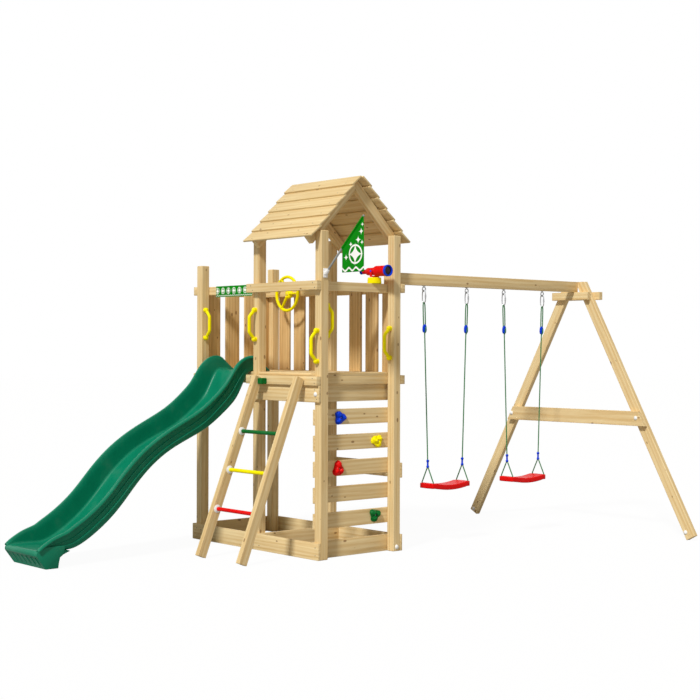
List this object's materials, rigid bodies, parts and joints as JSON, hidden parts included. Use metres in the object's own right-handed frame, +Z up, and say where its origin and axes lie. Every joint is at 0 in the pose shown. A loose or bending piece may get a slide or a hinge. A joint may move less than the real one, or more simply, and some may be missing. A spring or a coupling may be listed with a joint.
{
  "type": "play tower with slide and swing",
  "caption": "Wooden play tower with a gabled roof, wave slide, ladder, climbing wall, steering wheel, telescope and flag, and a swing beam on an A-frame carrying swings.",
  "frame": {"origin": "centre of the bounding box at ground level", "axes": "+Z up, +Y from the slide and ladder side towards the swings, +X from the slide bay towards the climbing wall"},
  "size_m": [2.8476, 5.0284, 2.9468],
  "materials": {
    "pine": "planed, uncoated",
    "roof_pine": "planed, uncoated",
    "slide_green": "glossy moulded",
    "hold_green": "satin moulded",
    "yellow": "glossy moulded",
    "red": "glossy moulded",
    "blue": "glossy moulded",
    "rope": "laid rope",
    "grey_pole": "satin",
    "flag_cloth": "printed cloth"
  },
  "bodies": {
    "tower": {"post_front_right": "pine", "post_back_right": "pine", "post_front_middle": "pine", "post_back_middle": "pine", "post_front_left": "pine", "post_back_left": "pine", "front_top_rail": "pine", "front_platform_beam": "pine", "climb_top_rail": "pine", "climb_platform_beam": "pine", "slide_top_rail": "pine", "slide_platform_rail": "pine", "left_fence": "pine", "back_fence": "pine", "back_brace_board": "pine", "deck": "pine", "sandbox_frame": "pine", "gable_rafters_right": "pine", "gable_rafters_left": "pine", "ladder_rail_left": "pine", "ladder_rail_right": "pine", "wheel_rail": "pine", "swing_beam": "pine", "swing_leg_left": "pine", "swing_leg_right": "pine", "swing_head_block_front": "pine", "swing_head_block_back": "pine", "swing_crossbar": "pine", "climbing_board_1": "pine", "climbing_board_2": "pine", "climbing_board_3": "pine", "climbing_board_4": "pine", "climbing_board_5": "pine", "roof_front_slope": "roof_pine", "roof_back_slope": "roof_pine", "slide": "slide_green", "hold_blue": "blue", "hold_yellow": "yellow", "ladder_rung_2": "yellow", "telescope_base": "yellow", "handle_slide_left": "yellow", "handle_slide_right": "yellow", "handle_ladder": "yellow", "handle_climb_front": "yellow", "handle_climb_back": "yellow", "hold_red": "red", "ladder_rung_1": "red", "hold_green": "hold_green", "ladder_rung_3": "hold_green", "flag_pole": "grey_pole", "flag": "flag_cloth"},
    "swing_1": {"swing_1_seat": "red", "swing_1_rope_front": "rope", "swing_1_rope_back": "rope"},
    "swing_2": {"swing_2_seat": "red", "swing_2_rope_front": "rope", "swing_2_rope_back": "rope"},
    "steering_wheel": {"steering_wheel": "yellow"},
    "telescope_yoke": {"telescope_yoke": "red"},
    "telescope_tube": {"telescope_tube": "red"}
  },
  "joints": [
    {"name": "swing_1_hinge", "type": "hinge", "parent": "tower", "child": "swing_1", "pos_m": [0.1487, 0.76335, 2.0638], "axis": [0, 1, 0], "range_deg": [-50, 50]},
    {"name": "swing_2_hinge", "type": "hinge", "parent": "tower", "child": "swing_2", "pos_m": [0.1487, 1.71485, 2.0638], "axis": [0, 1, 0], "range_deg": [-50, 50]},
    {"name": "wheel_turn", "type": "hinge", "parent": "tower", "child": "steering_wheel", "pos_m": [-1.0035, 0.01255, 2.063], "axis": [0, 1, 0], "continuous": true},
    {"name": "telescope_pan", "type": "hinge", "parent": "tower", "child": "telescope_yoke", "pos_m": [0.1487, -0.02915, 2.11], "axis": [0, 0, 1], "range_deg": [-60, 30]},
    {"name": "telescope_tilt", "type": "hinge", "parent": "telescope_yoke", "child": "telescope_tube", "pos_m": [0.1487, -0.02915, 2.206], "axis": [0, 1, 0], "range_deg": [-18, 5]}
  ]
}
